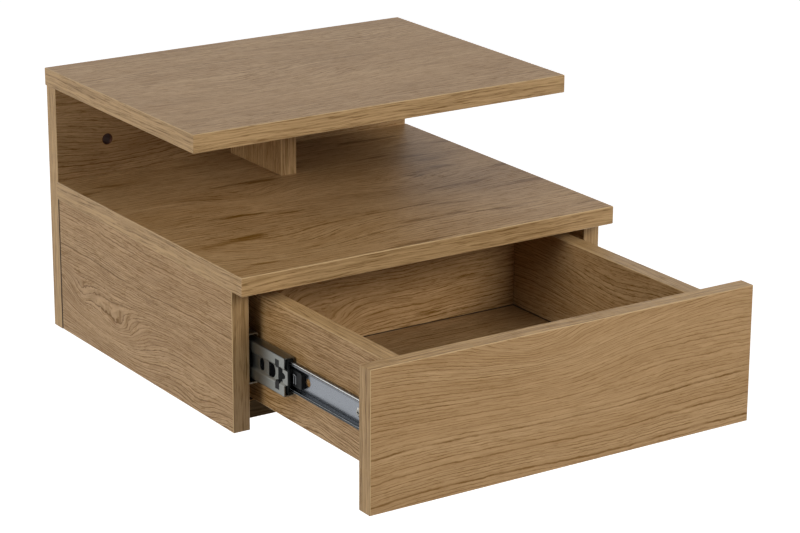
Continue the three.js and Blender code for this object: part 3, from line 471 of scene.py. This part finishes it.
# The right side's lower tone is partly the foil's own print, partly painted shade inside the drawer
oak_board("drawer_right_side", "x", "y", 10, [
    (-0.03, 0.01, 0.060, 0.020, 0.010),
], tone=0.87)
# The drawer back's raised tone is painted light
oak_board("drawer_back", "y", "x", 11, [
    (-0.10, 0.005, 0.020, 0.016, 0.018), (-0.055, -0.015, 0.030, 0.016, 0.016),
], ring=0.0040, smudge=0.4, tone=1.10)
# The bottom's lower tone is partly its own print, partly painted shade inside the drawer
oak_board("drawer_bottom", "z", "x", 12, [
    (-0.05, 0.03, 0.012, 0.009, 0.010),
], tone=0.83, well=(
    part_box("drawer_left_side")[1].x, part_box("drawer_right_side")[0].x,
    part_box("drawer_front")[1].y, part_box("drawer_back")[0].y,
))


# Metal and plastic

# How far the side panels' inner faces stand from the middle plane, and the runners' level
PANEL_INNER = 0.160
RUNNER_MIDDLE = -0.1035

# Painted highlight on the runners' raised ridges and painted shade in their grooves
RIDGE_HIGHLIGHT = linear(232, 236, 238)
GROOVE_SHADE_DARK = linear(66, 70, 72)


def lines_across(s, across, places, soft=0.0001):
    """Soft-edged lines along a runner, each from one distance to another off the side panel."""
    total = 0.0
    for first, last in places:
        rise = s.spread(across, first - soft, first + soft)
        fall = s.fade(across, last - soft, last + soft)
        total = s.math("MULTIPLY_ADD", rise, fall, total)
    return total


def steel(
    name, colour, roughness, grain, seed, tracks=(), ridges=(), crests=(), outer_tracks=(), shade_strength=1.0,
):
    """Rolled, zinc-coated sheet: faint spangle, drawn lines lengthwise and dulled patches.

    grain gives how fine the drawn lines are along x, y and z.
    tracks gives the stretches of painted shade on the flanges' inner faces, where the grooves look
    dark, and ridges the raised lines within them, bumped and with a painted highlight. outer_tracks
    and crests are the same on the outer faces.
    shade_strength is how dark the painted shade is.
    """
    material, s = new_material(name)
    coordinates = s.node("ShaderNodeTexCoord")
    x, y, z = s.split(coordinates.outputs["Object"])
    shift = (seed, seed * 2.0, seed * 3.0)
    drawn = s.stretched(x, y, z, grain, shift, roughness=0.6)
    cloud = s.stretched(x, y, z, (60.0, 40.0, 60.0), shift, detail=3.0)
    crystals = s.node("ShaderNodeTexVoronoi", {"Vector": s.vector(x, y, z), "Scale": 420.0})
    spangle = s.split(crystals.outputs["Color"])[0]
    tone = s.math("MULTIPLY_ADD", spangle, 0.03, s.math("MULTIPLY", cloud, 0.34))
    tone = s.math("MULTIPLY_ADD", drawn, 0.10, tone, clamp=True)
    face = s.mix(tone, colour, scaled(colour, 0.62))
    gloss = s.math("MULTIPLY_ADD", spangle, 0.03, roughness - 0.03)
    gloss = s.math("MULTIPLY_ADD", drawn, 0.04, gloss)
    normal = s.bump(drawn, 0.02, 0.0001)
    # Painted shade along the grooves and painted highlights on the ridges, which also get a bump
    if tracks or outer_tracks:
        across = s.math("SUBTRACT", PANEL_INNER, s.math("ABSOLUTE", x))
        above = s.math("SIGN", s.math("SUBTRACT", z, RUNNER_MIDDLE))
        outward = s.math("MULTIPLY", above, s.split(coordinates.outputs["Normal"])[2])
        inner_face = s.fade(outward, -0.1, 0.1)
        raised = s.choose(
            inner_face, lines_across(s, across, crests), lines_across(s, across, ridges, 0.0002),
        )
        painted_groove_shade = s.choose(
            inner_face, lines_across(s, across, outer_tracks), lines_across(s, across, tracks),
        )
        painted_groove_shade = s.math("SUBTRACT", painted_groove_shade, raised, clamp=True)
        painted_groove_shade = s.math("MULTIPLY", painted_groove_shade, s.spread(drawn, 0.2, 0.6, 0.80 * shade_strength, 0.95 * shade_strength))
        face = s.mix(raised, face, RIDGE_HIGHLIGHT)
        face = s.mix(painted_groove_shade, face, GROOVE_SHADE_DARK)
        gloss = s.math("MULTIPLY_ADD", raised, 0.3, gloss)
        gloss = s.math("MULTIPLY_ADD", painted_groove_shade, -0.06, gloss)
        normal = s.bump(raised, 1.0, 0.0004, normal)
    s.finish({
        "Base Color": face,
        "Metallic": 1.0,
        "Roughness": gloss,
        "Normal": normal,
    })
    return material


ROLLED = (900.0, 14.0, 900.0)
RUNNER_GREY = linear(150, 152, 147)

galvanised = steel("galvanised_steel", RUNNER_GREY, 0.36, ROLLED, 1.0)
# The middle runner's steel, with painted shade on its flanges' outer faces
outer_shaded = steel(
    "outer_shaded_steel", RUNNER_GREY, 0.36, ROLLED, 1.0, outer_tracks=[(0.0022, 0.0100)], shade_strength=0.5,
)
# The drawer runner's steel, with painted shade in its grooves and painted highlights on its ridges
groove_shaded = steel(
    "groove_shaded_steel", linear(133, 137, 143), 0.26, ROLLED, 3.0, tracks=[(0.0075, 0.0118)],
    ridges=[(0.0104, 0.0110), (0.0086, 0.0089)], crests=[(0.0099, 0.0106)],
)
zinc = steel("zinc_plate", linear(160, 158, 151), 0.36, (500.0, 500.0, 500.0), 2.0)


# From the middle runner's front end to the steel behind the window in its tongue
BEHIND_WINDOW = 0.0145

# How far off the side panel the plastic lies deep within the runner, and its soft limit
DEEP_WITHIN = (0.0048, 0.0080)
LIMIT_SOFT = 0.0002

PLASTIC_DARK = linear(14, 15, 15)
PLASTIC_LIGHT = linear(26, 27, 27)
PLASTIC_DEEP = linear(24, 26, 25)
# PLASTIC_PAINTED_SHADE is painted shade, almost black
PLASTIC_PAINTED_SHADE = linear(5, 5, 6)


def black_plastic():
    """Moulded plastic, duller deep in the runner, and painted almost black there behind the tongue's
    window as painted shade.
    """
    material, s = new_material("black_plastic")
    place = s.node("ShaderNodeTexCoord").outputs["Object"]
    x, y, _ = s.split(place)
    grain = s.noise(place, scale=2600.0)
    cloud = s.noise(place, scale=120.0)
    across = s.math("SUBTRACT", PANEL_INNER, s.math("ABSOLUTE", x))
    deep = lines_across(s, across, [DEEP_WITHIN])
    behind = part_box("left_middle_runner")[0].y + BEHIND_WINDOW
    inward = s.spread(y, behind - LIMIT_SOFT, behind + LIMIT_SOFT)
    # Painted shade: the plastic deep in the runner behind the window is made almost black
    painted_shade = s.math("MULTIPLY", deep, inward)
    open_face = s.mix(cloud, PLASTIC_DARK, PLASTIC_LIGHT)
    s.finish({
        "Base Color": s.mix(painted_shade, s.mix(deep, open_face, PLASTIC_DEEP), PLASTIC_PAINTED_SHADE),
        "Roughness": s.choose(deep, s.spread(cloud, 0.3, 0.7, 0.38, 0.52), 0.9),
        "Specular IOR Level": s.choose(painted_shade, s.choose(deep, 0.15, 0.12), 0.03),
        "Normal": s.bump(grain, 0.25, 0.0001),
    })
    return material


def beech():
    """Plain turned wood for the dowels, its fibres lengthwise."""
    material, s = new_material("beech")
    x, y, z = s.split(s.node("ShaderNodeTexCoord").outputs["Object"])
    fibres = s.stretched(x, y, z, (40.0, 900.0, 900.0), detail=3.0)
    s.finish({
        "Base Color": s.mix(fibres, linear(214, 182, 138), linear(168, 128, 86)),
        "Roughness": s.spread(fibres, 0.3, 0.7, 0.55, 0.70),
        "Normal": s.bump(fibres, 0.3, 0.0001),
    })
    return material


# Words in a node's name, and the material they call for: the first row that fits counts
FITTINGS = (
    (("screw", "cam"), zinc),
    (("inner_ball_cage", "clip", "lever"), black_plastic()),
    (("drawer_runner",), groove_shaded),
    (("middle_runner",), outer_shaded),
    (("runner", "cage"), galvanised),
    (("dowel",), beech()),
)
for name in nodes:
    for words, finish in FITTINGS:
        if any(word in name for word in words):
            dress(name, finish)
            break


# Hairpin springs in the grooves of the release levers

# The legs' places along the runner, and how far out the grooves' floor and the lever's face are
SPRING_LEGS = (-0.35745, -0.35445)
GROOVE_FLOOR = 0.1505
LEVER_FACE = 0.1515

# The wire's radius, and the heights off the runner's level of the legs' feet and of the bend
SPRING_WIRE = 0.00026
LEG_FOOT = -0.0041
LEG_STEP = 0.0022
LEG_POINTS = 4
BEND_START = 0.0025
BEND_STEPS = 12

spring_wire = steel("spring_wire", linear(150, 152, 154), 0.34, (600.0, 600.0, 60.0), 4.0)


def hairpin(name, side, body):
    """A wire that lies in both grooves and bends over the land between them."""
    middle = sum(SPRING_LEGS) / 2
    reach = (SPRING_LEGS[1] - SPRING_LEGS[0]) / 2
    lying = GROOVE_FLOOR + SPRING_WIRE
    path = [(lying, SPRING_LEGS[0], LEG_FOOT + i * LEG_STEP) for i in range(LEG_POINTS)]
    for i in range(1, BEND_STEPS):
        turn = math.pi * (1 - i / BEND_STEPS)
        lift = math.sin(turn) ** 0.5
        path.append((
            lying + (LEVER_FACE - GROOVE_FLOOR) * lift,
            middle + reach * math.cos(turn),
            BEND_START + reach * math.sin(turn),
        ))
    path += [(lying, SPRING_LEGS[1], BEND_START - i * LEG_STEP) for i in range(LEG_POINTS)]
    curve = bpy.data.curves.new(name, "CURVE")
    curve.dimensions = "3D"
    curve.bevel_depth = SPRING_WIRE
    curve.bevel_resolution = 3
    curve.use_fill_caps = True
    spline = curve.splines.new("POLY")
    spline.points.add(len(path) - 1)
    for point, (out, y, up) in zip(spline.points, path):
        point.co = (side * out, y, RUNNER_MIDDLE + up, 1.0)
    curve.materials.append(spring_wire)
    made = placed(name, curve)
    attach(made, body)


hairpin("left_lever_spring", -1, "left_lever")
hairpin("right_lever_spring", 1, "right_lever")


# Floor, world and lamps

FLOOR_DROP = 0.42
FLOOR_HALF = 7.0
FLOOR_GLOW = 0.85
WORLD_LIGHT = 0.11
WHITE = (1.0, 1.0, 1.0, 1.0)

floor_level = cad_low.z - FLOOR_DROP
corners = ((-1, -1), (1, -1), (1, 1), (-1, 1))
floor_mesh = bpy.data.meshes.new("floor")
floor_mesh.from_pydata(
    [(x * FLOOR_HALF, y * FLOOR_HALF, floor_level) for x, y in corners], [], [(0, 1, 2, 3)],
)
floor = placed("floor", floor_mesh)
material, s = new_material("pale_floor")
cloud = s.noise(s.node("ShaderNodeTexCoord").outputs["Object"], scale=3.0, detail=3.0)
s.finish({
    "Base Color": s.mix(cloud, linear(196, 196, 196), linear(202, 202, 202)),
    "Roughness": 0.8,
    "Emission Color": WHITE,
    "Emission Strength": s.math("MULTIPLY", s.seen(), FLOOR_GLOW),
})
floor.data.materials.append(material)

world = bpy.data.worlds.new("world")
world.use_nodes = True
bpy.context.scene.world = world
s = Shader(world.node_tree)
lit = s.node("ShaderNodeBackground", {"Color": WHITE, "Strength": WORLD_LIGHT})
plain = s.node("ShaderNodeBackground", {"Color": WHITE, "Strength": 1.0})
both = s.node("ShaderNodeMixShader", {0: s.seen(), 1: lit.outputs[0], 2: plain.outputs[0]})
s.node("ShaderNodeOutputWorld", {"Surface": both.outputs[0]})


def lamp(name, place, aim, size, power):
    """A rectangular softbox that faces a point of the part."""
    data = bpy.data.lights.new(name, "AREA")
    data.shape = "RECTANGLE"
    data.size, data.size_y = size
    data.energy = power
    made = placed(name, data)
    made.location = place
    made.rotation_mode = "QUATERNION"
    made.rotation_quaternion = (Vector(aim) - Vector(place)).to_track_quat("-Z", "Y")


lamp("left_softbox", (-2.5, -0.6, 1.1), (0, -0.25, -0.1), (1.5, 1.2), 36)
lamp("front_softbox", (0.8, -2.6, 1.25), (0, -0.3, -0.1), (1.4, 1.1), 45)
lamp("top_softbox", (1.4, -0.9, 2.3), (0, -0.3, -0.1), (1.2, 1.2), 4)
lamp("back_softbox", (-0.5, 2.6, 0.35), (0, 0, -0.05), (1.2, 0.8), 14)

bpy.context.scene.view_settings.view_transform = "Standard"
